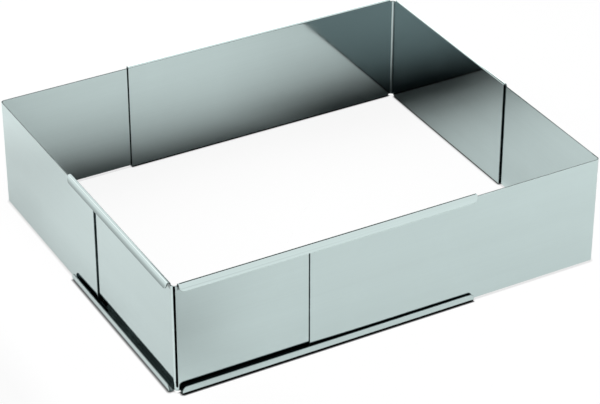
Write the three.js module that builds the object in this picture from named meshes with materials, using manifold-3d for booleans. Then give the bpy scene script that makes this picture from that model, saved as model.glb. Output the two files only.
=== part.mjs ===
// Adjustable baking frame: four bent stainless sheets that slide in one another.
// Two railed corners stand diagonally opposite. Their top and bottom edges are curled outwards into hooked
// rails. Two plain corners slide in those rails, outside the railed walls, and set the length and width.
// Millimetres, +Z up. The origin is the middle of the frame on the worktop, and +X runs along the long walls.
import * as THREE from "three";
import { mergeVertices } from "three/addons/utils/BufferGeometryUtils.js";
import Module from "manifold-3d";

const wasm = await Module();
wasm.setup();

// Sheets. A leg is measured from the inside of its corner to its free end.
const frameHeight = 85; // over the rails
const sheet = 0.7; // thickness of all four sheets
const cornerBend = 2; // inside radius of the upright bends
const railedLong = 226;
const railedShort = 154;
const plainLong = 227;
const plainShort = 155;

// How far a plain leg reaches into its rails, which sets the size of the frame.
const longOverlap = 127.6;
const shortOverlap = 37.6;

// Rails: the wall's edge turns out over a flat crown, and back along the wall as a lip.
const railCrown = 1; // flat stretch between the rail's two bends
const lipHeight = 5.4; // from the crown to the lip's free edge
const lipRound = 3.5; // radius of the lip's free corners
const reliefRun = 1.5; // the rails stop this far from the upright bend
const reliefCut = 0.1; // at the bend the sheet's edge is cut back this far past the rail's bend line

// Clearances of a plain sheet in its rail.
const layerGap = 0.7; // to the railed wall
const lipGap = 1.1; // to the lip
const seatPlay = 0.3; // under the sheet
const headPlay = 1; // over the sheet

// What follows from those sizes.
const layerOffset = sheet + layerGap; // from a railed wall's inside to a plain sheet's inside
const openLength = railedLong + plainLong - layerOffset - longOverlap; // inside the railed walls
const openWidth = railedShort + plainShort - layerOffset - shortOverlap;
const channel = layerGap + sheet + lipGap; // inside width of a rail
const railBend = (channel - railCrown) / 2; // inside radius of the rail's bends
const bendLine = sheet + railBend; // where the wall starts to turn, measured from the crown
const railDepth = channel + 2 * sheet; // from a railed wall's inside to the outside of its lip
const railStart = cornerBend + reliefRun; // where a rail begins along its leg
const bendReach = Math.max(railBend - Math.min(layerGap, lipGap), 0); // how far a plain sheet is over a bend
const bendRise = railBend - Math.sqrt(railBend ** 2 - bendReach ** 2); // how high the bend is there
const plainBottom = sheet + bendRise + seatPlay;
const plainTop = frameHeight - sheet - bendRise - headPlay;

const arcSteps = 3; // each quarter turn has twice as many facets

// Joining and cutting closed geometries.
function solid(geometry) {
  const bare = geometry.clone();
  bare.deleteAttribute("normal");
  bare.deleteAttribute("uv");
  const merged = mergeVertices(bare);
  return new wasm.Manifold(
    new wasm.Mesh({
      numProp: 3,
      vertProperties: new Float32Array(merged.attributes.position.array),
      triVerts: new Uint32Array(merged.index.array),
    }),
  );
}

function geometryOf(body) {
  const mesh = body.getMesh();
  const geometry = new THREE.BufferGeometry();
  geometry.setAttribute("position", new THREE.BufferAttribute(mesh.vertProperties, 3));
  geometry.setIndex(new THREE.BufferAttribute(mesh.triVerts, 1));
  geometry.computeVertexNormals();
  return geometry;
}

function join(...pieces) {
  return geometryOf(pieces.map(solid).reduce((all, piece) => all.add(piece)));
}

function cut(piece, tools) {
  return geometryOf(tools.map(solid).reduce((rest, tool) => rest.subtract(tool), solid(piece)));
}

function extruded(shape, depth) {
  return new THREE.ExtrudeGeometry(shape, { depth, bevelEnabled: false, curveSegments: arcSteps });
}

// Turns a geometry so that its own x, y and z run along the given axes, and puts its origin at a place.
function laid(geometry, x, y, z, place) {
  const axes = [x, y, z].map((axis) => new THREE.Vector3(...axis));
  return geometry.applyMatrix4(new THREE.Matrix4().makeBasis(...axes).setPosition(...place));
}

// Plan of a sheet bent to a right angle, inner faces on the axes: one leg runs along +X, the other along +Y.
function bentStrip(alongX, alongY) {
  const shape = new THREE.Shape();
  shape.moveTo(alongX, 0);
  shape.absarc(cornerBend, cornerBend, cornerBend, -Math.PI / 2, -Math.PI, true);
  shape.lineTo(0, alongY);
  shape.lineTo(-sheet, alongY);
  shape.absarc(cornerBend, cornerBend, cornerBend + sheet, Math.PI, Math.PI * 1.5, false);
  shape.lineTo(alongX, -sheet);
  return shape;
}

// Section of a railed leg: x runs outwards from the wall's inside face, and y upwards.
function railedSection() {
  const quarter = Math.PI / 2;
  const nearBend = bendLine; // centres of the rail's two bends, measured outwards
  const farBend = bendLine + railCrown;
  const upperBend = frameHeight - bendLine;
  const shape = new THREE.Shape();
  shape.moveTo(0, bendLine);
  shape.absarc(nearBend, upperBend, bendLine, 2 * quarter, quarter, true);
  shape.absarc(farBend, upperBend, bendLine, quarter, 0, true);
  shape.lineTo(railDepth, frameHeight - lipHeight);
  shape.lineTo(railDepth - sheet, frameHeight - lipHeight);
  shape.absarc(farBend, upperBend, railBend, 0, quarter, false);
  shape.absarc(nearBend, upperBend, railBend, quarter, 2 * quarter, false);
  shape.absarc(nearBend, bendLine, railBend, 2 * quarter, 3 * quarter, false);
  shape.absarc(farBend, bendLine, railBend, 3 * quarter, 4 * quarter, false);
  shape.lineTo(railDepth - sheet, lipHeight);
  shape.lineTo(railDepth, lipHeight);
  shape.absarc(farBend, bendLine, bendLine, 0, -quarter, true);
  shape.absarc(nearBend, bendLine, bendLine, -quarter, -2 * quarter, true);
  return shape;
}

// Tool that rounds off one free corner of a lip, in the frame of a railed leg: x outwards, y up, z along.
// The lip ends at z = end and its free edge is at y = edge. The sides say which way those two face.
function lipCornerTool(end, endSide, edge, edgeSide) {
  const round = Math.min(lipRound, lipHeight - bendLine);
  const centreAlong = end - endSide * round;
  const centreUp = edge - edgeSide * round;
  const edgeAngle = (edgeSide * Math.PI) / 2;
  const endAngle = endSide > 0 ? 0 : edgeSide * Math.PI;
  const shape = new THREE.Shape();
  shape.moveTo(end + endSide * sheet, edge + edgeSide * sheet);
  shape.lineTo(centreAlong, edge + edgeSide * sheet);
  shape.absarc(centreAlong, centreUp, round, edgeAngle, endAngle, endSide * edgeSide > 0);
  shape.lineTo(end + endSide * sheet, centreUp);
  const throughLip = extruded(shape, lipGap / 2 + 2 * sheet);
  return laid(throughLip, [0, 0, 1], [0, 1, 0], [-1, 0, 0], [railDepth + sheet, 0, 0]);
}

function railedLeg(length) {
  const tools = [];
  for (const [end, endSide] of [[0, -1], [length, 1]]) {
    for (const [edge, edgeSide] of [[lipHeight, 1], [frameHeight - lipHeight, -1]]) {
      tools.push(lipCornerTool(end, endSide, edge, edgeSide));
    }
  }
  return cut(extruded(railedSection(), length), tools);
}

// One sheet: the upright bend laps one sheet's thickness into the walls of its two railed legs.
function railedCorner() {
  const edge = bendLine + reliefCut;
  const bend = extruded(bentStrip(railStart + sheet, railStart + sheet), frameHeight - 2 * edge);
  bend.translate(0, 0, edge);
  const longLeg = railedLeg(railedLong - railStart);
  laid(longLeg, [0, -1, 0], [0, 0, 1], [-1, 0, 0], [railedLong, 0, 0]);
  const shortLeg = railedLeg(railedShort - railStart);
  laid(shortLeg, [-1, 0, 0], [0, 0, 1], [0, 1, 0], [0, railStart, 0]);
  return join(bend, longLeg, shortLeg);
}

function plainCorner() {
  return extruded(bentStrip(plainShort, plainLong), plainTop - plainBottom).translate(0, 0, plainBottom);
}

function piece(name, geometry, turn, x, y) {
  const steel = new THREE.MeshStandardMaterial({ color: 0xb4c3c2, metalness: 1, roughness: 0.3 });
  const mesh = new THREE.Mesh(geometry, steel);
  mesh.name = name;
  mesh.rotation.z = turn;
  mesh.position.set(x, y, 0);
  return mesh;
}

const railedX = openLength / 2;
const railedY = openWidth / 2;
const plainX = railedX + layerOffset;
const plainY = railedY + layerOffset;

const bakingFrame = new THREE.Group();
bakingFrame.add(
  piece("front_corner", railedCorner(), 0, -railedX, -railedY),
  piece("back_corner", railedCorner(), Math.PI, railedX, railedY),
  piece("right_corner", plainCorner(), Math.PI / 2, plainX, -plainY),
  piece("left_corner", plainCorner(), -Math.PI / 2, -plainX, plainY),
);

export default bakingFrame;
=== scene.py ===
"""Adjustable baking frame: four folded stainless sheets that slide in one another, on a white worktop."""
import math
from typing import NamedTuple

import bmesh
import bpy
from mathutils import Matrix, Vector


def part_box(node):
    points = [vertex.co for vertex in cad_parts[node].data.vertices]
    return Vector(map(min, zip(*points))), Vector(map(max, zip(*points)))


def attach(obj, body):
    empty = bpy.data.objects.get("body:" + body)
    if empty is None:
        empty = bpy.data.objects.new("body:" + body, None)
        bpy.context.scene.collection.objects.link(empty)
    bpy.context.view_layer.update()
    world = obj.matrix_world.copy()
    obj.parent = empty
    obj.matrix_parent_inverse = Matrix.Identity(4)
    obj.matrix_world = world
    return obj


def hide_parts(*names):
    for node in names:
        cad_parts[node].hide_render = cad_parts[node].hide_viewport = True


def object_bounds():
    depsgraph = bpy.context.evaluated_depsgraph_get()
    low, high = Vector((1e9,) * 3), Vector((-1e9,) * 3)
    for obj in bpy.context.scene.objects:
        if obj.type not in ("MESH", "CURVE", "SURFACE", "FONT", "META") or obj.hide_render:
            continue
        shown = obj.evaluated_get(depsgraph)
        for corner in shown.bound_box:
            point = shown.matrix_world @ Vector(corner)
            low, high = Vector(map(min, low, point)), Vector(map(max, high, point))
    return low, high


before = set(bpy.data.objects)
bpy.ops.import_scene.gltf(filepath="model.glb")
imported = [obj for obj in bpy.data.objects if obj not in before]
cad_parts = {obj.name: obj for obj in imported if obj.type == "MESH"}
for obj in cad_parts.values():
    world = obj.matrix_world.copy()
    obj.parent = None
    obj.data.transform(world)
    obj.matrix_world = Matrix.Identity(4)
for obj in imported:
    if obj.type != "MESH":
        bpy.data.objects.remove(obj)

cad_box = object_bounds()

# Sizes in metres. A sheet's flat blank is measured on the face that ends up inside the frame.
MM = 0.001
SHEET = 0.7 * MM  # thickness of all four sheets
CORNER_RADIUS = 2 * MM  # inside radius of the upright bends
RAIL_RADIUS = 1.2 * MM  # outside radius of a rail's two bends
RAIL_DEPTH = 3.9 * MM  # from a railed wall's inside to the outside of its lip
LIP_ROUND = 3.5 * MM  # radius of the lip's free corners
RELIEF_RUN = 0.9 * MM  # the rails stop this far from the upright bend
RELIEF_CUT = 0.5 * MM  # at the bend the edge is cut back this far past the rail's bend line
EDGE_BREAK = 0.1 * MM  # chamfer left by deburring the cut edges
SHADE_UNDER_RAIL = 4.6 * MM  # behind a top rail's lip the wall has painted shade, this far down from the bend line
SHADE_FADE = 4  # the painted shade turns light again over the last part of that, one in this many

HALF_BEND = CORNER_RADIUS * math.pi / 4  # flat length of half an upright bend
FIRST_BEND = RAIL_RADIUS * math.pi / 2  # flat length of a rail's first bend
RAIL_START = HALF_BEND + RELIEF_RUN  # where a rail begins, from the middle of the upright bend

# How the sheets stray from their true shape.
WAVE_HEIGHT = 0.22 * MM  # how far a wall strays from flat
WAVE_LENGTH = 130 * MM
WAVE_CALM = 3  # power with which the waves die away towards the wall's edges
END_LEAN = 0.45 * MM  # a plain sheet's free ends spring in towards the wall that they slide along
LEAN_RUN = 60 * MM

# Widest steps between the columns and rows of faces, and how many steps a bend has.
FINE_STEP = 0.9 * MM
COARSE_STEP = 6 * MM
LIP_STEP = 0.6 * MM
END_ZONE = LIP_ROUND + 2 * MM  # length of the fine columns at each end of a rail
HALF_BEND_STEPS = 7
RAIL_BEND_STEPS = 8
CROWN_STEPS = 2
ROUND_STEPS = 9
ROUNDING = 1e-6  # so that a span of whole steps gains none


class Rail(NamedTuple):
    """Shape of a rail past its first bend."""

    crown: float  # flat stretch between the rail's two bends
    turn: float  # how far the second bend turns
    bow: float  # radius to which the lip goes on bending in towards its free edge
    lip: float  # from the crown to that edge


TOP_RAIL = Rail(crown=0.5 * MM, turn=math.radians(65), bow=14 * MM, lip=5.2 * MM)
BOTTOM_RAIL = Rail(crown=1.5 * MM, turn=math.radians(88), bow=60 * MM, lip=5.6 * MM)

# Sizes of the fold that all four sheets share, and the names of those that each sheet has of its own.
SHARED_SIZES = {
    "Sheet": SHEET,
    "Corner radius": CORNER_RADIUS,
    "Rail radius": RAIL_RADIUS,
    "Rail start": RAIL_START - EDGE_BREAK,  # a little less, so that the rail's first column counts
    "Shade under rail": SHADE_UNDER_RAIL,
    "Lean run": LEAN_RUN,
    "Wave height": WAVE_HEIGHT,
    "Wave length": WAVE_LENGTH,
    "Top crown": TOP_RAIL.crown,
    "Top turn": TOP_RAIL.turn,
    "Top bow": TOP_RAIL.bow,
    "Bottom crown": BOTTOM_RAIL.crown,
    "Bottom turn": BOTTOM_RAIL.turn,
    "Bottom bow": BOTTOM_RAIL.bow,
}
OWN_SIZES = ("Wall half", "First leg", "Second leg", "End lean", "Seed")

# Most values of a noise lie between these.
NOISE_LOW = 0.3
NOISE_HIGH = 0.7

# Rolled steel. Its patterns are in waves per metre, along the rolling direction and across it.
STREAK_WAVES = (6, 900, 1)
BAND_WAVES = (2.5, 60, 1)
SMUDGE_WAVES = 38
FINER_WAVES = 0.6  # how strong the finer waves of the streaks and smudges are
STREAK_SHARE = 0.5  # of the tone
BAND_SHARE = 0.5
SMUDGE_SHARE = 0.15
SMUDGE_FROM = 0.5  # the lower half of the noise shows no smudge
SMUDGE_CONTRAST = 4
LEAST_TONE = 0.3
DULL_EDGE_AND_SHADE = 0.5  # how much darker in tone the dull cut edges are, and the painted shade inside the rails and behind the top lips
# The darkest tone is that of the dull cut edges and of the painted shade.
STEEL_TONES = (
    (0, (0.18, 0.215, 0.21, 1)),
    (0.3, (0.59, 0.7, 0.69, 1)),
    (0.7, (0.62, 0.735, 0.725, 1)),
)
CLEAN_ROUGHNESS = 0.03
STREAK_ROUGHNESS = 0.04
SMUDGE_ROUGHNESS = 0.04
CUT_ROUGHNESS = 0.25
STREAK_DEPTH = 0.2 * MM
STREAK_RELIEF = 0.01  # how much of that depth shows


class Wire:
    """A socket of a node tree. Arithmetic on it adds Math nodes to the tree."""

    def __init__(self, tree, socket=None):
        self.tree = tree
        self.socket = socket

    def node(self, kind, settings=None, sockets=None, output=0):
        """A new node: its settings first, then its sockets' values or links. The wire is one output."""
        made = self.tree.nodes.new(kind)
        for name, value in (settings or {}).items():
            if name == "stops":
                ramp = made.color_ramp
                while len(ramp.elements) < len(value):
                    ramp.elements.new(1)
                for element, (place, colour) in zip(ramp.elements, value):
                    element.position = place
                    element.color = colour
            else:
                setattr(made, name, value)
        for name, value in (sockets or {}).items():
            if isinstance(value, Wire):
                self.tree.links.new(value.socket, made.inputs[name])
            else:
                made.inputs[name].default_value = value
        return Wire(self.tree, made.outputs[output])

    def out(self, name):
        """Another output of the same node."""
        return Wire(self.tree, self.socket.node.outputs[name])

    def maths(self, operation, *values):
        """A Math node on those values."""
        return self.node("ShaderNodeMath", {"operation": operation}, dict(enumerate(values)))

    def math(self, operation, *others):
        """A Math node on this value and others."""
        return self.maths(operation, self, *others)

    def within(self, low, high):
        """This value, held between two limits."""
        return self.math("MAXIMUM", low).math("MINIMUM", high)

    def between(self, start, end):
        """0 up to a start, 1 from an end on, and an even rise between them."""
        return ((self - start) / (end - start)).within(0, 1)

    def noise(self, scale, detail, roughness=0.5):
        """Noise over this place."""
        sockets = {"Vector": self, "Scale": scale, "Detail": detail, "Roughness": roughness}
        return self.node("ShaderNodeTexNoise", None, sockets)

    def coloured(self, stops):
        """The colour that this value has on a ramp."""
        return self.node("ShaderNodeValToRGB", {"stops": stops}, {"Fac": self})

    def grey(self):
        """This value as a colour."""
        return self.node("ShaderNodeCombineColor", None, dict.fromkeys(range(3), self))

    def tinted(self, tint):
        """This colour times another. A Mix node has its colours at inputs 6 and 7 and output 2."""
        mixing = {"data_type": "RGBA", "blend_type": "MULTIPLY"}
        return self.node("ShaderNodeMix", mixing, {"Factor": 1, 6: self, 7: tint}, 2)

    def __add__(self, other):
        return self.math("ADD", other)

    __radd__ = __add__

    def __mul__(self, other):
        return self.math("MULTIPLY", other)

    __rmul__ = __mul__

    def __sub__(self, other):
        return self.math("SUBTRACT", other)

    def __rsub__(self, other):
        return self.maths("SUBTRACT", other, self)

    def __truediv__(self, other):
        return self.math("DIVIDE", other)

    def __rtruediv__(self, other):
        return self.maths("DIVIDE", other, self)

    def __neg__(self):
        return self.math("MULTIPLY", -1)


def new_material(name):
    material = bpy.data.materials.new(name)
    material.use_nodes = True
    material.node_tree.nodes.clear()
    return material, Wire(material.node_tree)


def finish_tree(start, kind, shader):
    """Links a shader to a new output node of that kind."""
    end = start.tree.nodes.new(kind)
    start.tree.links.new(shader.socket, end.inputs["Surface"])


def rolled_steel():
    """Bright rolled stainless sheet, with faint streaks along its rolling direction and smudges, and painted
    shade in its rails.
    """
    material, start = new_material("rolled_steel")
    flat = start.node("ShaderNodeUVMap", {"uv_map": "flat"})
    drawn_out = start.node("ShaderNodeMapping", None, {"Vector": flat, "Scale": STREAK_WAVES})
    streaks = drawn_out.noise(scale=1, detail=3, roughness=FINER_WAVES)
    broad = start.node("ShaderNodeMapping", None, {"Vector": flat, "Scale": BAND_WAVES})
    bands = broad.noise(scale=1, detail=2)
    place = start.node("ShaderNodeTexCoord", output="Object")
    blotches = place.noise(scale=SMUDGE_WAVES, detail=4, roughness=FINER_WAVES)
    smudge = ((blotches - SMUDGE_FROM) * SMUDGE_CONTRAST).within(0, 1)
    cut_edge = start.node("ShaderNodeAttribute", {"attribute_name": "cut_edge"}, output="Fac")
    channel = start.node("ShaderNodeAttribute", {"attribute_name": "channel"}, output="Fac")
    # Painted shade: the insides of the rails and the wall behind the top lips are darkened in tone, as the
    # dull cut edges are.
    dull_edge_or_shade = cut_edge.math("MAXIMUM", channel)
    pattern = bands * BAND_SHARE + streaks * STREAK_SHARE + smudge * SMUDGE_SHARE
    tone = pattern.within(LEAST_TONE, 1) - dull_edge_or_shade * DULL_EDGE_AND_SHADE
    worn = streaks * STREAK_ROUGHNESS + smudge * SMUDGE_ROUGHNESS
    bump = {"Strength": STREAK_RELIEF, "Distance": STREAK_DEPTH, "Height": streaks}
    sockets = {
        "Base Color": tone.coloured(STEEL_TONES),
        "Metallic": 1,
        "Roughness": CLEAN_ROUGHNESS + worn + cut_edge * CUT_ROUGHNESS,
        "Normal": start.node("ShaderNodeBump", None, bump),
    }
    finish_tree(start, "ShaderNodeOutputMaterial", start.node("ShaderNodeBsdfPrincipled", None, sockets))
    return material


def stations(start, *spans):
    """Stations from a start through spans, each given by its end and its widest step."""
    found = [start]
    for end, step in spans:
        begin = found[-1]
        count = max(1, math.ceil((end - begin) / step - ROUNDING))
        found += [begin + (end - begin) * i / count for i in range(1, count + 1)]
    return found


def rail_run(rail):
    """Flat length of a rail."""
    bend_drop = RAIL_RADIUS * (1 - math.cos(rail.turn))
    end_cosine = math.cos(rail.turn) - (rail.lip - bend_drop) / rail.bow
    bowed = rail.bow * (math.acos(end_cosine) - rail.turn)
    return FIRST_BEND + rail.crown + RAIL_RADIUS * rail.turn + bowed


def rail_rows(rail):
    """Where the rows of a flat rail lie, measured from its bend line, closer together in the bends."""
    second_bend = RAIL_RADIUS * rail.turn
    crown_end = FIRST_BEND + rail.crown
    round_start = rail_run(rail) - LIP_ROUND
    rows = stations(
        0,
        (FIRST_BEND, FIRST_BEND / RAIL_BEND_STEPS),
        (crown_end, rail.crown / CROWN_STEPS),
        (crown_end + second_bend, second_bend / RAIL_BEND_STEPS),
        (round_start, LIP_STEP),
    )
    turns = [math.pi / 2 * i / ROUND_STEPS for i in range(1, ROUND_STEPS + 1)]
    return rows[1:] + [round_start + LIP_ROUND * math.sin(turn) for turn in turns]


def flat_blank(name, first_leg, second_leg, wall_half, railed):
    """A sheet before it is folded: x along the walls from the upright bend, y up from half height."""
    columns = stations(
        -first_leg,
        (-first_leg + END_ZONE, FINE_STEP),
        (-RAIL_START - END_ZONE, COARSE_STEP),
        (-RAIL_START, FINE_STEP),
        (-HALF_BEND, FINE_STEP),
        (HALF_BEND, HALF_BEND / HALF_BEND_STEPS),
        (RAIL_START, FINE_STEP),
        (RAIL_START + END_ZONE, FINE_STEP),
        (second_leg - END_ZONE, COARSE_STEP),
        (second_leg, FINE_STEP),
    )
    upper = stations(
        0,
        (wall_half - SHADE_UNDER_RAIL, COARSE_STEP),
        (wall_half - RELIEF_CUT, FINE_STEP),
        (wall_half, RELIEF_CUT),
    )
    lower = [-v for v in upper[1:]]
    if railed:
        upper += [wall_half + run for run in rail_rows(TOP_RAIL)]
        lower += [-wall_half - run for run in rail_rows(BOTTOM_RAIL)]
    rows = lower[::-1] + upper

    def trimmed(u, v):
        """The lip's free corners are rounded off: near its ends a row of the lip is drawn in."""
        rail = TOP_RAIL if v > 0 else BOTTOM_RAIL
        past = abs(v) - wall_half - rail_run(rail) + LIP_ROUND
        if past <= 0:
            return u
        sine = min(1, past / LIP_ROUND)
        drawn = LIP_ROUND * (1 - math.sqrt(1 - sine * sine))
        squeeze = (END_ZONE - drawn) / END_ZONE
        leg = first_leg if u < 0 else second_leg
        run = abs(u)
        if run < RAIL_START + END_ZONE:
            run = RAIL_START + drawn + (run - RAIL_START) * squeeze
        elif run > leg - END_ZONE:
            run = leg - drawn - (leg - run) * squeeze
        return math.copysign(run, u)

    def cut_away(u, v):
        """At the upright bend a railed sheet has no rails."""
        return railed and abs(u) < RAIL_START and abs(v) > wall_half - RELIEF_CUT

    shape = bmesh.new()
    points = {}

    def point(i, j):
        if (i, j) not in points:
            points[i, j] = shape.verts.new((trimmed(columns[i], rows[j]), rows[j], 0))
        return points[i, j]

    for i in range(len(columns) - 1):
        for j in range(len(rows) - 1):
            middle_u = (columns[i] + columns[i + 1]) / 2
            middle_v = (rows[j] + rows[j + 1]) / 2
            if not cut_away(middle_u, middle_v):
                shape.faces.new([point(i, j), point(i, j + 1), point(i + 1, j + 1), point(i + 1, j)])
    thicken(shape)
    mesh = bpy.data.meshes.new(name)
    shape.to_mesh(mesh)
    shape.free()
    return mesh


def thicken(shape):
    """Makes a flat outline of faces a closed sheet with deburred edges, and marks its cut edges."""
    cut_edge = shape.faces.layers.float.new("cut_edge")
    inside_faces = list(shape.faces)
    rim = {}
    for edge in shape.edges:
        if edge.is_boundary:
            loop = edge.link_loops[0]
            rim[loop.vert] = loop.link_loop_next.vert
    first = next(iter(rim))
    outline = [first]
    while rim[outline[-1]] is not first:
        outline.append(rim[outline[-1]])
    count = len(outline)
    plan = [vert.co.copy() for vert in outline]
    far = {vert: shape.verts.new((vert.co.x, vert.co.y, SHEET)) for vert in list(shape.verts)}
    for face in inside_faces:
        shape.faces.new([far[vert] for vert in reversed(face.verts)])
    near_break = [shape.verts.new((co.x, co.y, EDGE_BREAK)) for co in plan]
    far_break = [shape.verts.new((co.x, co.y, SHEET - EDGE_BREAK)) for co in plan]
    for i, vert in enumerate(outline):
        before = (plan[i] - plan[i - 1]).normalized()
        after = (plan[(i + 1) % count] - plan[i]).normalized()
        inward = Vector((before.y + after.y, -before.x - after.x, 0))
        inward *= EDGE_BREAK / (1 + before.dot(after))
        vert.co += inward
        far[vert].co += inward
    rings = [outline, near_break, far_break, [far[vert] for vert in outline]]
    for ring, above in zip(rings, rings[1:]):
        for i in range(count):
            k = (i + 1) % count
            face = shape.faces.new([ring[k], ring[i], above[i], above[k]])
            face[cut_edge] = 1
    for face in shape.faces:
        face.smooth = True


def strayed(given, spot, u, v, depth):
    """Depth in a sheet whose walls stray from flat, both faces alike, and whose free ends lean in."""
    first_leg = given.out("First leg")
    wave = spot.node(
        "ShaderNodeTexNoise",
        {"noise_dimensions": "4D"},
        {"Vector": spot, "W": given.out("Seed"), "Scale": 1 / given.out("Wave length"), "Detail": 0},
    )
    share = (v / given.out("Wall half")).math("ABSOLUTE")
    leg = first_leg + (given.out("Second leg") - first_leg) * u.math("GREATER_THAN", 0)
    ending = (1 - (leg - u.math("ABSOLUTE")) / given.out("Lean run")).math("MAXIMUM", 0)
    calm = (1 - share.math("POWER", WAVE_CALM).math("MINIMUM", 1)) * (1 - ending)
    waved = depth + (wave - 0.5) * 2 * given.out("Wave height") * calm
    return waved - ending * ending * given.out("End lean")


def past_bend_line(given, v):
    """How far a point of the flat sheet lies past a rail's bend line."""
    return (v.math("ABSOLUTE") - given.out("Wall half")).math("MAXIMUM", 0)


def first_bend_run(given):
    """Flat length of a rail's first bend."""
    return given.out("Rail radius") * (math.pi / 2)


def painted_shade_mark(given, u, v, z):
    """1 where shade is painted: inside the rails, and on the wall behind the top rails' lips."""
    shaded_in_rail = (past_bend_line(given, v) / first_bend_run(given)).math("MINIMUM", 1)
    below = (given.out("Wall half") - v) / given.out("Shade under rail")
    shaded_behind_lip = (SHADE_FADE - SHADE_FADE * below).within(0, 1)
    beside_bend = u.math("ABSOLUTE").math("GREATER_THAN", given.out("Rail start"))
    outer_face = (z * 2).math("GREATER_THAN", given.out("Sheet"))
    return shaded_in_rail.math("MAXIMUM", shaded_behind_lip * beside_bend) * outer_face


def rail_fold(given, v, depth):
    """How far out and up a folded point lies: past a bend, the crown, a second bend and the lip."""
    upper = v.math("GREATER_THAN", 0)

    def of_rail(name):
        bottom = given.out("Bottom " + name)
        return bottom + (given.out("Top " + name) - bottom) * upper

    rail_radius = given.out("Rail radius")
    crown = of_rail("crown")
    lip_turn = of_rail("turn")
    bow = of_rail("bow")
    first_bend = first_bend_run(given)
    second_bend = rail_radius * lip_turn
    past = past_bend_line(given, v)
    first_turn = past.math("MINIMUM", first_bend) / rail_radius
    over = past - first_bend
    crown_run = over.within(0, crown)
    down = over - crown
    second_turn = down.within(0, second_bend) / rail_radius
    end_turn = lip_turn + (down - second_bend).math("MAXIMUM", 0) / bow
    radius = rail_radius - depth
    bow_radius = bow - depth
    outward = (
        rail_radius
        - radius * first_turn.math("COSINE")
        + crown_run
        + radius * second_turn.math("SINE")
        + bow_radius * (end_turn.math("SINE") - lip_turn.math("SINE"))
    )
    rise = (
        v.math("ABSOLUTE").math("MINIMUM", given.out("Wall half"))
        + radius * first_turn.math("SINE")
        - radius * (1 - second_turn.math("COSINE"))
        - bow_radius * (lip_turn.math("COSINE") - end_turn.math("COSINE"))
    )
    return outward, rise * v.math("SIGN")


def upright_bend(given, u, outward, height):
    """Folded place: the first leg runs along +X, the second along +Y, with the inside faces on the axes."""
    corner_radius = given.out("Corner radius")
    half_bend = corner_radius * (math.pi / 4)
    bent = u.math("MAXIMUM", -half_bend).math("MINIMUM", half_bend)
    straight = u - bent
    facing = -(bent / corner_radius) - 3 * math.pi / 4
    cosine = facing.math("COSINE")
    sine = facing.math("SINE")
    reach = corner_radius + outward
    x = corner_radius + reach * cosine + straight * sine
    y = corner_radius + reach * sine - straight * cosine
    return u.node("ShaderNodeCombineXYZ", None, {"X": x, "Y": y, "Z": height})


def fold_tree():
    """Folds a flat sheet: its rails first, then the upright bend. Sizes are the tree's inputs."""
    tree = bpy.data.node_groups.new("fold_sheet", "GeometryNodeTree")
    tree.interface.new_socket(name="Geometry", in_out="OUTPUT", socket_type="NodeSocketGeometry")
    kinds = {
        "Geometry": "NodeSocketGeometry",
        **dict.fromkeys((*SHARED_SIZES, *OWN_SIZES), "NodeSocketFloat"),
        "Material": "NodeSocketMaterial",
    }
    identifiers = {}
    for name, kind in kinds.items():
        item = tree.interface.new_socket(name=name, in_out="INPUT", socket_type=kind)
        identifiers[name] = item.identifier
    given = Wire(tree).node("NodeGroupInput")
    position = given.node("GeometryNodeInputPosition")
    flat = position.node("ShaderNodeSeparateXYZ", None, {0: position})
    u = flat.out("X")
    v = flat.out("Y")
    z = flat.out("Z")
    spot = u.node("ShaderNodeCombineXYZ", None, {"X": u, "Y": v, "Z": 0})
    mapped = given.node(
        "GeometryNodeStoreNamedAttribute",
        {"data_type": "FLOAT2", "domain": "CORNER"},
        {"Geometry": given.out("Geometry"), "Name": "flat", "Value": spot},
    )
    # Painted shade is marked where the steel's tone is darkened, inside the rails and behind the top lips.
    shade_marked = mapped.node(
        "GeometryNodeStoreNamedAttribute",
        {"data_type": "FLOAT", "domain": "POINT"},
        {"Geometry": mapped, "Name": "channel", "Value": painted_shade_mark(given, u, v, z)},
    )
    outward, height = rail_fold(given, v, strayed(given, spot, u, v, z))
    folded = upright_bend(given, u, outward, height)
    placed = shade_marked.node("GeometryNodeSetPosition", None, {"Geometry": shade_marked, "Position": folded})
    real = placed.node("GeometryNodeRealizeInstances", None, {"Geometry": placed})
    dress = {"Geometry": real, "Material": given.out("Material")}
    dressed = real.node("GeometryNodeSetMaterial", None, dress)
    end = tree.nodes.new("NodeGroupOutput")
    tree.links.new(dressed.socket, end.inputs["Geometry"])
    return tree, identifiers


steel = rolled_steel()
fold, fold_inputs = fold_tree()


def new_object(name, data):
    made = bpy.data.objects.new(name, data)
    bpy.context.scene.collection.objects.link(made)
    return made


def folded_sheet(name, blank, values, place):
    """The flat blank folded by the tree, with its shading settled and its place in the mesh."""
    flat = new_object(name + "_blank", blank)
    modifier = flat.modifiers.new("fold", "NODES")
    modifier.node_group = fold
    for size, value in values.items():
        modifier[fold_inputs[size]] = value
    weighted = flat.modifiers.new("shading", "WEIGHTED_NORMAL")
    weighted.keep_sharp = False
    shown = flat.evaluated_get(bpy.context.evaluated_depsgraph_get())
    mesh = bpy.data.meshes.new_from_object(shown)
    flat.modifiers.clear()
    bpy.data.objects.remove(flat)
    bpy.data.meshes.remove(blank)
    mesh.name = name
    mesh.transform(place)
    return new_object(name, mesh)


def leg_along(low, high, forwards, out):
    """Where a sheet's corner lies along one side of its box, and how far its leg reaches from there."""
    corner = low + out if forwards else high - out
    reach = high - corner if forwards else corner - low
    return corner, reach


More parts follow.
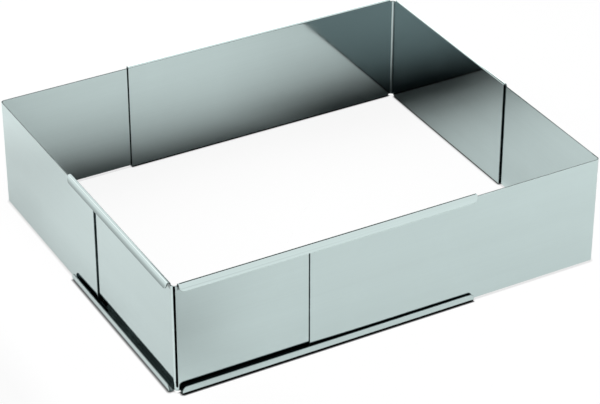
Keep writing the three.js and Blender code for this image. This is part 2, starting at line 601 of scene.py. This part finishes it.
def sheet_piece(node, turn, railed, seed):
    """The visible sheet for one CAD node. Its legs, height and place follow the node's box."""
    low, high = (Vector(corner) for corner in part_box(node))
    out = RAIL_DEPTH if railed else SHEET
    towards = Matrix.Rotation(turn, 3, "Z") @ Vector((1, 1, 0))
    corner_x, reach_x = leg_along(low.x, high.x, towards.x > 0, out)
    corner_y, reach_y = leg_along(low.y, high.y, towards.y > 0, out)
    quarter_turned = abs(math.sin(turn)) > 0.5
    first_reach, second_reach = (reach_y, reach_x) if quarter_turned else (reach_x, reach_y)
    allowance = HALF_BEND - CORNER_RADIUS
    first_leg = first_reach + allowance
    second_leg = second_reach + allowance
    wall_half = (high.z - low.z) / 2
    if railed:
        wall_half -= RAIL_RADIUS
    blank = flat_blank(node + "_flat", first_leg, second_leg, wall_half, railed)
    values = {
        **SHARED_SIZES,
        # A plain sheet folds no rails: its bend lines are put out of reach, and its edges stray with
        # its walls.
        "Wall half": wall_half if railed else 2 * wall_half,
        "First leg": first_leg,
        "Second leg": second_leg,
        "End lean": 0.0 if railed else END_LEAN,
        "Seed": seed,
        "Material": steel,
    }
    middle = (low.z + high.z) / 2
    place = Matrix.Translation((corner_x, corner_y, middle)) @ Matrix.Rotation(turn, 4, "Z")
    piece = folded_sheet(node + "_sheet", blank, values, place)
    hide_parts(node)
    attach(piece, node)
    return piece


front = sheet_piece("front_corner", turn=0, railed=True, seed=1.0)
back = sheet_piece("back_corner", turn=math.pi, railed=True, seed=4.0)
sheet_piece("right_corner", turn=math.pi / 2, railed=False, seed=7.0)
left = sheet_piece("left_corner", turn=-math.pi / 2, railed=False, seed=9.0)

# Camera at the photograph's angle.
CAMERA_PLACE = Vector((-0.7012, -1.2721, 0.9298))
CAMERA_YAW = 0.5066  # radians, from +Y towards +X
CAMERA_PITCH = 0.5579  # downwards
CAMERA_LENS = 144.03  # millimetres, on a sensor of the width below
SENSOR_WIDTH = 36
CAMERA_REACH = 100


def aimed(origin, target):
    return (Vector(target) - Vector(origin)).to_track_quat("-Z", "Y").to_euler()


level_reach = math.cos(CAMERA_PITCH)
sight = Vector(
    (math.sin(CAMERA_YAW) * level_reach, math.cos(CAMERA_YAW) * level_reach, -math.sin(CAMERA_PITCH))
)
lens = bpy.data.cameras.new("camera")
lens.sensor_width = SENSOR_WIDTH
lens.lens = CAMERA_LENS
lens.clip_end = CAMERA_REACH
camera = new_object("camera", lens)
camera.location = CAMERA_PLACE
camera.rotation_euler = aimed(CAMERA_PLACE, CAMERA_PLACE + sight)
bpy.context.scene.camera = camera

# White surroundings, as they are seen and as the steel mirrors them.
HALF_LENGTH = cad_box[1][0] - RAIL_DEPTH  # from the middle of the frame to the inside of its railed walls
HALF_WIDTH = cad_box[1][1] - RAIL_DEPTH
MIRROR_FADE = (0.375, 0.395, 0.42)  # how much red, green and blue is left at each further mirroring
AMBIENT = 0.06  # plain light from all round

WORKTOP_SIZE = 30
WORKTOP_DROP = 0.2 * MM  # keeps the worktop's face clear of the crowns that stand on it
WORKTOP_TONES = ((NOISE_LOW, (0.88, 0.89, 0.89, 1)), (NOISE_HIGH, (0.91, 0.915, 0.915, 1)))
WORKTOP_GRAIN = 4  # waves per metre
WORKTOP_WHITE = 1.02
SEEN_WHITE = 0.9  # how much of the worktop's look is plain white, the rest is its real shading

CONTACT_REACH = 2 * MM  # the worktop darkens this close to the sheets
CONTACT_SAMPLES = 16
CONTACT_RAILS = 7  # how steeply, beside the rails at the front and back
CONTACT_SIDES = 2.4  # beside those at the left and right
CONTACT_ELSEWHERE = 1

WHITE_STARTS = 125 * MM  # this far from the front and right walls the mirrored worktop begins to whiten
WHITE_FULL = 195 * MM
DIM_STARTS = 65 * MM  # this far to the left of the frame painted shade begins to turn the worktop grey
DIM_FULL = 90 * MM
DIM_ENDS = 450 * MM  # where it is light again
DIM_LEVEL = 0.48
FALL_STARTS = 0.35  # this far from the frame painted shade begins to darken the mirrored worktop, where light falls off far from the lamps
FALL_ENDS = 1.6
FALL_LEVEL = 0.4
LANE_HALF = 0.15  # it darkens in lanes of this half width, straight out from the walls
LANE_SOFT = 0.2  # and less and less over this distance beside them


def seen_share(start):
    """1 for a ray from the camera, straight or mirrored, and 0 for others.

    With it comes the colour that is left after further mirrorings.
    """
    path = start.node("ShaderNodeLightPath", output="Is Camera Ray")
    straight = path + path.out("Is Glossy Ray") + path.out("Is Transmission Ray")
    unscattered = 1 - path.out("Diffuse Depth").math("MINIMUM", 1)
    again = (path.out("Glossy Depth") - 1).math("MAXIMUM", 0)
    fading = [start.maths("POWER", fade, again) for fade in MIRROR_FADE]
    colour = start.node("ShaderNodeCombineColor", None, dict(enumerate(fading)))
    return straight.math("MINIMUM", 1) * unscattered, colour


def beyond_walls(x, y):
    """How far out from the walls a point of the worktop lies."""
    return (x.math("ABSOLUTE") - HALF_LENGTH).math("MAXIMUM", y.math("ABSOLUTE") - HALF_WIDTH)


def contact_light(x, y):
    """Light left on the worktop close to the sheets, least beside the rails that stand on it."""
    rail_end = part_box("front_corner")[1]
    front_rails = x.math("LESS_THAN", rail_end[0]) * y.math("LESS_THAN", rail_end[1])
    back_rails = x.math("GREATER_THAN", -rail_end[0]) * y.math("GREATER_THAN", -rail_end[1])
    outside = beyond_walls(x, y).math("GREATER_THAN", 0)
    beside_rails = outside * front_rails.math("MAXIMUM", back_rails)
    front_or_back = y.math("ABSOLUTE").math("GREATER_THAN", HALF_WIDTH)
    at_rails = CONTACT_SIDES + front_or_back * (CONTACT_RAILS - CONTACT_SIDES)
    steepness = CONTACT_ELSEWHERE + beside_rails * (at_rails - CONTACT_ELSEWHERE)
    reach = {"Distance": CONTACT_REACH}
    occluded = x.node("ShaderNodeAmbientOcclusion", {"samples": CONTACT_SAMPLES}, reach, "AO")
    return occluded.math("POWER", steepness)


def mirrored_zones(x, y):
    """How white the mirrored worktop is, how much painted shade greys it beside the left wall, and how far
    painted shade darkens it far off.
    """
    in_front = (-y - HALF_WIDTH).math("MAXIMUM", x - HALF_LENGTH)
    leftwards = -x - HALF_LENGTH
    lighter = leftwards.between(DIM_FULL, DIM_ENDS)
    white = in_front.between(WHITE_STARTS, WHITE_FULL).math("MAXIMUM", lighter)
    painted_dim = 1 - leftwards.between(DIM_STARTS, DIM_FULL) * (1 - lighter) * (1 - DIM_LEVEL)
    aside = x.math("ABSOLUTE").math("MINIMUM", y.math("ABSOLUTE"))
    lane = 1 - aside.between(LANE_HALF, LANE_HALF + LANE_SOFT)
    painted_falloff = lane * beyond_walls(x, y).between(FALL_STARTS, FALL_ENDS)
    return white, painted_dim, painted_falloff


def worktop_material():
    """White worktop. It is seen white with a faint shadow, and the steel mirrors its shading, with painted
    shade in zones.
    """
    material, start = new_material("worktop")
    place = start.node("ShaderNodeTexCoord", output="Object")
    grain = place.noise(scale=WORKTOP_GRAIN, detail=2)
    across = start.node("ShaderNodeSeparateXYZ", None, {0: place})
    x = across.out("X")
    y = across.out("Y")
    straight = start.node("ShaderNodeLightPath", output="Is Camera Ray")
    seen, fading = seen_share(start)
    white, painted_dim, painted_falloff = mirrored_zones(x, y)
    falloff_shade = 1 - painted_falloff * (1 - straight) * (1 - FALL_LEVEL)
    light = (contact_light(x, y) * falloff_shade).grey().tinted(fading)
    shaded = grain.coloured(WORKTOP_TONES).tinted(painted_dim.grey()).tinted(light)
    real = start.node("ShaderNodeBsdfDiffuse", None, {"Color": shaded})
    plain = start.node("ShaderNodeEmission", None, {"Color": light, "Strength": WORKTOP_WHITE})
    share = straight * SEEN_WHITE + (seen - straight) * white
    shader = start.node("ShaderNodeMixShader", None, {0: share, 1: real, 2: plain})
    finish_tree(start, "ShaderNodeOutputMaterial", shader)
    return material


def studio_world():
    """White where it is seen or mirrored, and a low plain fill for everything else."""
    world = bpy.data.worlds.new("studio")
    world.use_nodes = True
    world.node_tree.nodes.clear()
    start = Wire(world.node_tree)
    seen, fading = seen_share(start)
    strength = AMBIENT + seen * (1 - AMBIENT)
    plain = start.node("ShaderNodeBackground", None, {"Color": fading, "Strength": strength})
    finish_tree(start, "ShaderNodeOutputWorld", plain)
    return world


def level(centre, half_x, half_y):
    """Corners of a level rectangle."""
    sides = (-1, -1), (1, -1), (1, 1), (-1, 1)
    return [Vector(centre) + Vector((x * half_x, y * half_y, 0)) for x, y in sides]


def upright(foot_a, foot_b, low, high):
    """Corners of an upright rectangle over two points of the worktop."""
    return [(*foot_a[:2], low), (*foot_b[:2], low), (*foot_b[:2], high), (*foot_a[:2], high)]


def flat_face(name, material, corners):
    """An object of one flat face."""
    mesh = bpy.data.meshes.new(name)
    mesh.from_pydata(corners, [], [(0, 1, 2, 3)])
    mesh.materials.append(material)
    return new_object(name, mesh)


worktop_half = WORKTOP_SIZE / 2
worktop_corners = level((0, 0, -WORKTOP_DROP), worktop_half, worktop_half)
worktop = flat_face("worktop", worktop_material(), worktop_corners)
bpy.context.scene.world = studio_world()


def softbox(name, origin, target, width, height, power):
    """A lamp that lights the worktop. The steel mirrors the worktop and the white round it, not the lamp."""
    light = bpy.data.lights.new(name, "AREA")
    light.shape = "RECTANGLE"
    light.size = width
    light.size_y = height
    light.energy = power
    lamp = new_object(name, light)
    lamp.location = origin
    lamp.rotation_euler = aimed(origin, target)
    lamp.visible_camera = False
    lamp.visible_glossy = False
    return lamp


def mirrored_panel(name, origin, width, height, power, sheet):
    """A pale panel that only one sheet's steel mirrors, turned to the top of the frame."""
    panel = softbox(name, origin, (0, 0, cad_box[1][2]), width, height, power)
    panel.visible_glossy = True
    panel.visible_diffuse = False
    mirrors = bpy.data.collections.new(name + "_mirrors")
    mirrors.objects.link(sheet)
    panel.light_linking.receiver_collection = mirrors
    return panel


# The key hangs behind at the left, and two low lamps light the worktop beside the frame. A small narrow one
# lights it inside.
INNER_SPREAD = math.radians(32)
key = softbox("key_softbox", origin=(-0.55, 0.82, 1.5), target=(0, 0, 0), width=1.3, height=1.8, power=35.5)
softbox("right_card", origin=(0.75, -0.75, 0.12), target=(0.1, -0.2, 0), width=0.7, height=0.16, power=14)
softbox("left_card", origin=(-1.1, 0.15, 0.12), target=(-0.2, 0, 0), width=0.7, height=0.16, power=7)
inner = softbox(
    "inner_softbox", origin=(0.05, -0.01, 0.5), target=(0.05, -0.01, 0), width=0.2, height=0.08, power=0.013
)
inner.data.spread = INNER_SPREAD

# One panel whitens the crowns of the back rails, and a warmer one the round of the left rail.
LEFT_PANEL_COLOUR = (1, 0.86, 0.87)
mirrored_panel("rim_panel", origin=(0.66, 1.18, 0.93), width=1.3, height=1.0, power=5.3, sheet=back)
left_panel = mirrored_panel(
    "left_panel", origin=(-1.06, 1.43, 1.085), width=0.9, height=0.9, power=1.3, sheet=front
)
left_panel.data.color = LEFT_PANEL_COLOUR

# Cards near the frame, which only reflections or shadows show.
SPECKLE = 900  # waves per metre
CARD_LOW = 0.5 * MM
CARD_HIGH = 83 * MM
BLACK_DISTANCE = 5 * MM  # from the near corner to the black card
BLACK_HALF_WIDTH = 4.2 * MM
WHITE_DISTANCE = 12 * MM
WHITE_FROM = math.radians(50)  # to the left of the camera, seen from the near corner
WHITE_TO = math.radians(108)
HUNG_LEFT = (-0.03, 0.15)
HUNG_RIGHT = (0.27, 0.15)
HUNG_LOW = 0.215
HUNG_HIGH = 0.6


def speckled(name, dark, light, kind, socket):
    """A card's material: one shade with a fine speckle."""
    material, start = new_material(name)
    place = start.node("ShaderNodeTexCoord", output="Object")
    tones = ((NOISE_LOW, (dark, dark, dark, 1)), (NOISE_HIGH, (light, light, light, 1)))
    shade = place.noise(scale=SPECKLE, detail=2).coloured(tones)
    finish_tree(start, "ShaderNodeOutputMaterial", start.node(kind, None, {socket: shade}))
    return material


def card(name, material, corners):
    """A flat card that nothing sees until its rays are let in."""
    made = flat_face(name, material, corners)
    made.visible_camera = False
    made.visible_diffuse = False
    made.visible_glossy = False
    made.visible_transmission = False
    made.visible_shadow = False
    return made


def shade_card(name, centre, half_x, half_y):
    """A level card that only takes light away from the worktop below it."""
    made = card(name, black_cloth, level(centre, half_x, half_y))
    made.visible_shadow = True
    return made


def from_corner(turn, distance):
    """A point that far from the near corner, turned to the left from the camera's side."""
    return near_corner - Vector((math.sin(CAMERA_YAW + turn), math.cos(CAMERA_YAW + turn), 0)) * distance


black_cloth = speckled("black_cloth", 0.002, 0.004, "ShaderNodeBsdfDiffuse", "Color")
glowing_paper = speckled("glowing_paper", 0.98, 1, "ShaderNodeEmission", "Color")

# Close to the near upright bend a black card draws the dark line in it, and a white card, which glows though
# it is no lamp, draws a painted light line beside that.
near_corner = Vector(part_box("front_corner")[0]) + Vector((RAIL_DEPTH, RAIL_DEPTH, 0))
black_turn = math.atan(BLACK_HALF_WIDTH / BLACK_DISTANCE)
black_reach = math.hypot(BLACK_HALF_WIDTH, BLACK_DISTANCE)
black_edges = from_corner(black_turn, black_reach), from_corner(-black_turn, black_reach)
white_edges = from_corner(WHITE_FROM, WHITE_DISTANCE), from_corner(WHITE_TO, WHITE_DISTANCE)
card("black_card", black_cloth, upright(*black_edges, CARD_LOW, CARD_HIGH)).visible_glossy = True
card("white_card", glowing_paper, upright(*white_edges, CARD_LOW, CARD_HIGH)).visible_glossy = True

# A black card hangs over the back wall, where only the front rail's crown mirrors it.
card("hung_card", black_cloth, upright(HUNG_LEFT, HUNG_RIGHT, HUNG_LOW, HUNG_HIGH)).visible_glossy = True

# Small cards shade the worktop in front of the near corner, beside the far end of the left wall, and
# inside the back wall to the right and to the left.
shades = [
    shade_card("near_shade", centre=(-0.16, -0.16, 0.11), half_x=26 * MM, half_y=38 * MM),
    shade_card("far_shade", centre=(-0.207, 0.205, 0.11), half_x=13 * MM, half_y=38 * MM),
    shade_card("inner_shade", centre=(0.1125, 0.128, 0.11), half_x=62 * MM, half_y=10 * MM),
    shade_card("left_shade", centre=(-0.125, 0.155, 0.095), half_x=46 * MM, half_y=24 * MM),
]

# The front walls throw no shadow of the key, because the worktop in front of them is light.
blockers = bpy.data.collections.new("key_blockers")
for blocker in (back, left, *shades):
    blockers.objects.link(blocker)
key.light_linking.blocker_collection = blockers

view = bpy.context.scene.view_settings
view.view_transform = "Standard"
